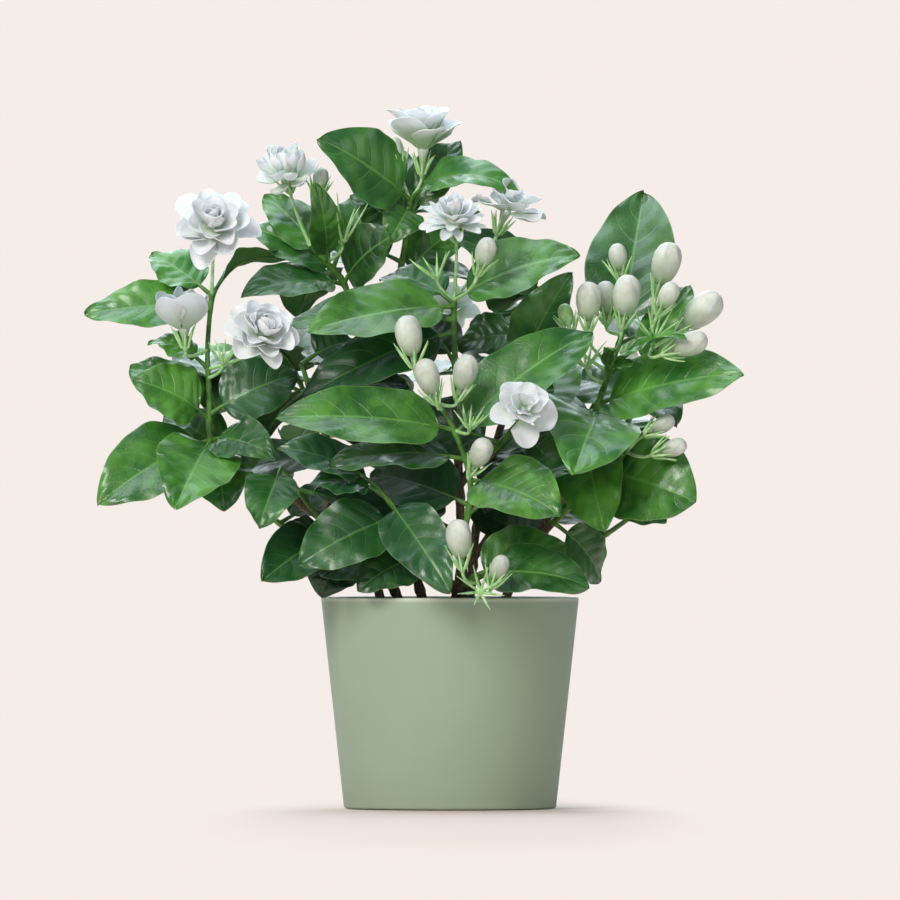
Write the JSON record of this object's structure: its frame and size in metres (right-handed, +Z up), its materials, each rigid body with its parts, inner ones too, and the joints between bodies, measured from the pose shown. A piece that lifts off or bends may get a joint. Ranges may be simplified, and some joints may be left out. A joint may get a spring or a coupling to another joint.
{
  "type": "potted flowering plant",
  "caption": "Bushy Arabian jasmine with glossy leaves, white double blooms and plump buds in a plain tapered sage-green plant pot.",
  "frame": {"origin": "centre of the pot's flat base, on the surface it stands on", "axes": "+Z up along the pot's axis, -Y towards the front of the plant as in the picture, +X to its right"},
  "size_m": [0.3281, 0.2455, 0.3514],
  "materials": {
    "pot": "matt, moulded, sage green",
    "soil": "loose, dark, crumbly",
    "wood": "rough brown bark",
    "leaf": "smooth, glossy green blades with veins",
    "bloom": "soft white petals",
    "bud": "smooth cream-white, pale green at the base"
  },
  "bodies": {
    "root": {"bloom_01": "bloom", "bloom_02": "bloom", "bloom_03": "bloom", "bloom_04": "bloom", "bloom_05": "bloom", "bloom_06": "bloom", "bloom_07": "bloom", "bloom_08": "bloom", "bloom_09": "bloom", "bloom_10": "bloom", "bloom_11": "bloom", "bud_01": "bud", "bud_02": "bud", "bud_03": "bud", "bud_04": "bud", "bud_05": "bud", "bud_06": "bud", "bud_07": "bud", "bud_08": "bud", "bud_09": "bud", "bud_10": "bud", "bud_11": "bud", "bud_12": "bud", "bud_13": "bud", "bud_14": "bud", "bud_15": "bud", "bud_16": "bud", "bud_17": "bud", "bud_18": "bud", "bud_19": "bud", "bud_20": "bud", "leafy_shoot_back": "leaf", "leafy_shoot_back_high": "leaf", "leafy_shoot_back_left": "leaf", "leafy_shoot_back_low_left": "leaf", "leafy_shoot_back_low_right": "leaf", "leafy_shoot_back_right": "leaf", "leafy_shoot_centre": "leaf", "leafy_shoot_centre_right": "leaf", "leafy_shoot_far_back_left": "leaf", "leafy_shoot_far_right": "leaf", "leafy_shoot_front_left": "leaf", "leafy_shoot_inner_left": "leaf", "leafy_shoot_left": "leaf", "leafy_shoot_low_front": "leaf", "leafy_shoot_lower_left": "leaf", "leafy_shoot_lower_right": "leaf", "leafy_shoot_middle": "leaf", "leafy_shoot_right": "leaf", "leafy_shoot_top": "leaf", "pot": "pot", "soil": "soil", "woody_stem_back": "wood", "woody_stem_back_left": "wood", "woody_stem_centre": "wood", "woody_stem_front": "wood", "woody_stem_left": "wood", "woody_stem_right": "wood", "woody_stem_top": "wood"}
  },
  "joints": []
}
